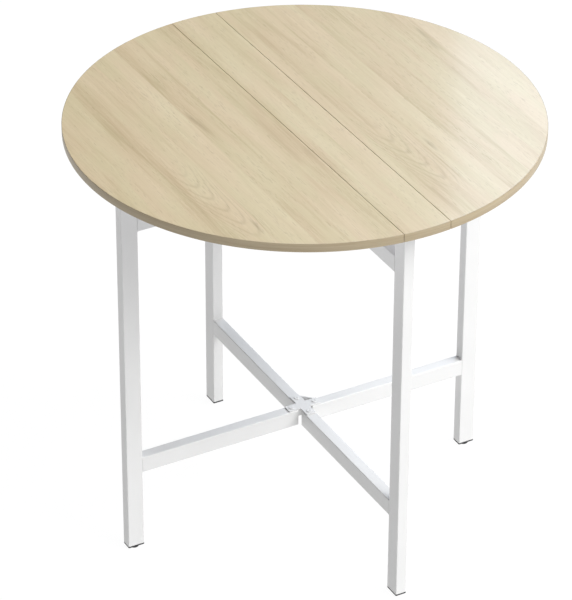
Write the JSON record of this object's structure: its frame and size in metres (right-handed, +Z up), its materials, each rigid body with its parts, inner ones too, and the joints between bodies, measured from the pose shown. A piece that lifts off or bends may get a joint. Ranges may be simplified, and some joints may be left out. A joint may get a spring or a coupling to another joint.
{
  "type": "gateleg table",
  "caption": "Round drop-leaf table on a cross of slim square-cut tube legs; two gate legs turn in to fold beside the fixed frame.",
  "frame": {"origin": "on the floor, under the middle of the round top", "axes": "+Z up; +Y along the seams, towards the back fixed leg; +X towards the right gate leg; the front fixed leg, beside which both gates fold, is at -Y"},
  "size_m": [0.8, 0.8, 0.755],
  "materials": {
    "oak_laminate": "satin",
    "white_powder_coat": "semi-gloss",
    "dark_plastic": "matt",
    "pale_plastic": "matt",
    "zinc_steel": "satin"
  },
  "bodies": {
    "frame": {"strip_board": "oak_laminate", "lower_rivet_left": "white_powder_coat", "upper_rivet_left": "white_powder_coat", "lower_rivet_right": "white_powder_coat", "upper_rivet_right": "white_powder_coat", "leg_front": "white_powder_coat", "lower_rail_front": "white_powder_coat", "upper_rail_front": "white_powder_coat", "lower_rivet_front": "white_powder_coat", "upper_rivet_front": "white_powder_coat", "foot_plug_front": "dark_plastic", "glide_front": "dark_plastic", "leg_back": "white_powder_coat", "lower_rail_back": "white_powder_coat", "upper_rail_back": "white_powder_coat", "lower_rivet_back": "white_powder_coat", "upper_rivet_back": "white_powder_coat", "foot_plug_back": "dark_plastic", "glide_back": "dark_plastic", "lower_cross_plate": "white_powder_coat", "upper_cross_plate": "white_powder_coat", "lower_stop_left": "white_powder_coat", "strip_wing_left_front": "zinc_steel", "hinge_pin_left_front": "zinc_steel", "strip_wing_left_back": "zinc_steel", "hinge_pin_left_back": "zinc_steel", "lower_stop_right": "white_powder_coat", "strip_wing_right_front": "zinc_steel", "hinge_pin_right_front": "zinc_steel", "strip_wing_right_back": "zinc_steel", "hinge_pin_right_back": "zinc_steel", "mount_plate_front": "white_powder_coat", "mount_screw_front_1": "zinc_steel", "mount_screw_front_2": "zinc_steel", "mount_plate_back": "white_powder_coat", "mount_screw_back_1": "zinc_steel", "mount_screw_back_2": "zinc_steel"},
    "left_gate": {"leg_left": "white_powder_coat", "lower_rail_left": "white_powder_coat", "upper_rail_left": "white_powder_coat", "foot_plug_left": "dark_plastic", "glide_left": "dark_plastic", "leg_pad_left": "pale_plastic"},
    "right_gate": {"leg_right": "white_powder_coat", "lower_rail_right": "white_powder_coat", "upper_rail_right": "white_powder_coat", "foot_plug_right": "dark_plastic", "glide_right": "dark_plastic", "leg_pad_right": "pale_plastic"},
    "left_leaf": {"leaf_left_board": "oak_laminate", "leaf_wing_left_front": "zinc_steel", "leaf_wing_left_back": "zinc_steel"},
    "right_leaf": {"leaf_right_board": "oak_laminate", "leaf_wing_right_front": "zinc_steel", "leaf_wing_right_back": "zinc_steel"}
  },
  "joints": [
    {"name": "left_gate_swing", "type": "hinge", "parent": "frame", "child": "left_gate", "pos_m": [-0.0225, 0, 0.4], "axis": [0, 0, 1], "range_deg": [0, 90]},
    {"name": "right_gate_swing", "type": "hinge", "parent": "frame", "child": "right_gate", "pos_m": [0.0225, 0, 0.4], "axis": [0, 0, -1], "range_deg": [0, 90]},
    {"name": "left_leaf_hinge", "type": "hinge", "parent": "frame", "child": "left_leaf", "pos_m": [-0.0425, 0, 0.7367], "axis": [0, -1, 0], "range_deg": [-2.5, 0]},
    {"name": "right_leaf_hinge", "type": "hinge", "parent": "frame", "child": "right_leaf", "pos_m": [0.0425, 0, 0.7367], "axis": [0, 1, 0], "range_deg": [-2.5, 0]}
  ]
}
